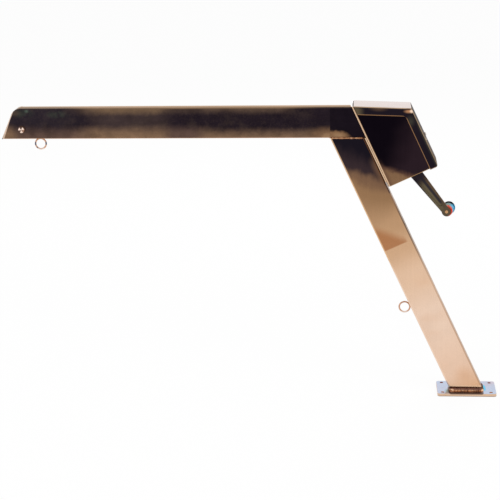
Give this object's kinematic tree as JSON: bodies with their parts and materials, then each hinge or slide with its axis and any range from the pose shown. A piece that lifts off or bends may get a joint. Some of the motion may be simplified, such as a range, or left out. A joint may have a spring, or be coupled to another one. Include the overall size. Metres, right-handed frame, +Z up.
{
  "type": "deck davit",
  "caption": "Bolt-down stainless boat davit: leaning post, level arm with nose sheave and lashing rings, and a geared hand winch in a covered housing with a side crank.",
  "frame": {"origin": "centre of the base plate's bolt pattern, on the underside of the plate", "axes": "+Z up; the arm points to -X; the crank is on the +Y side"},
  "size_m": [1.6219, 0.2507, 0.9791],
  "materials": {
    "polished_steel": "mirror-polished stainless steel",
    "weld_steel": "rippled weld bead, straw-tinted by heat",
    "bolt_steel": "bright stainless fasteners",
    "plated_steel": "zinc-plated pressed steel",
    "gear_steel": "machined, lightly greased",
    "bronze": "turned bronze",
    "nylon": "moulded black nylon",
    "crank_steel": "forged steel, polished",
    "grip_blue": "glossy moulded plastic",
    "grip_black": "moulded black plastic",
    "washer_red": "red plastic washer"
  },
  "bodies": {
    "davit": {"base_plate": "polished_steel", "post_tube": "polished_steel", "arm_tube": "polished_steel", "nose_plate": "polished_steel", "base_weld": "weld_steel", "elbow_weld": "weld_steel", "arm_eye": "polished_steel", "post_eye": "polished_steel", "arm_eye_weld": "weld_steel", "post_eye_weld": "weld_steel", "nose_bolt": "bolt_steel", "nose_bolt_nut": "bolt_steel", "nose_bolt_washers": "bolt_steel", "nose_spacers": "bolt_steel", "mounting_pad": "polished_steel", "housing_box": "polished_steel", "housing_cover": "polished_steel", "cover_screws": "bolt_steel", "winch_frame": "plated_steel", "winch_bolts": "bolt_steel", "weld_nuts": "bolt_steel", "drum_axle": "bolt_steel", "drum_axle_nut": "bolt_steel", "drum_axle_washer": "bolt_steel", "shaft_bushes": "bronze", "wall_bush": "nylon", "pawl_pin": "bolt_steel", "guide_pin": "bolt_steel", "guide_pin_circlip": "bolt_steel"},
    "drum": {"drum": "plated_steel", "drum_gear": "gear_steel", "drum_bushes": "bronze", "rope_clamp": "plated_steel", "rope_clamp_screws": "bolt_steel"},
    "crank": {"drive_shaft": "gear_steel", "pinion": "gear_steel", "shaft_circlip": "bolt_steel", "ratchet_wheel": "gear_steel", "crank_arm": "crank_steel", "crank_washer": "bolt_steel", "crank_nut": "bolt_steel", "grip_pin": "bolt_steel", "grip_washer": "washer_red", "grip_clip": "bolt_steel"},
    "grip": {"crank_grip": "grip_blue", "grip_cap": "grip_black"},
    "nose_sheave": {"nose_sheave": "nylon", "nose_sheave_bush": "bronze"},
    "guide_roller": {"guide_roller": "nylon"},
    "pawl": {"pawl": "plated_steel"}
  },
  "joints": [
    {"name": "drum_spin", "type": "hinge", "parent": "davit", "child": "drum", "pos_m": [-0.23819, 0, 0.84496], "axis": [0, 1, 0], "continuous": true},
    {"name": "crank_spin", "type": "hinge", "parent": "davit", "child": "crank", "pos_m": [-0.20547, 0, 0.77415], "axis": [0, 1, 0], "continuous": true},
    {"name": "grip_spin", "type": "hinge", "parent": "crank", "child": "grip", "pos_m": [-0.0719, 0.057, 0.60441], "axis": [0.1074, 0.9848, -0.1365], "continuous": true},
    {"name": "nose_sheave_spin", "type": "hinge", "parent": "davit", "child": "nose_sheave", "pos_m": [-1.4565, 0, 0.902], "axis": [0, 1, 0], "continuous": true},
    {"name": "guide_roller_spin", "type": "hinge", "parent": "davit", "child": "guide_roller", "pos_m": [-0.32216, 0, 0.89318], "axis": [0, 1, 0], "continuous": true},
    {"name": "pawl_lift", "type": "hinge", "parent": "davit", "child": "pawl", "pos_m": [-0.18007, 0.041, 0.81453], "axis": [0, 1, 0], "range_deg": [0, 30]}
  ],
  "couplings": [
    {"joint": "crank_spin", "follows": "drum_spin", "ratio": -3.3333}
  ]
}
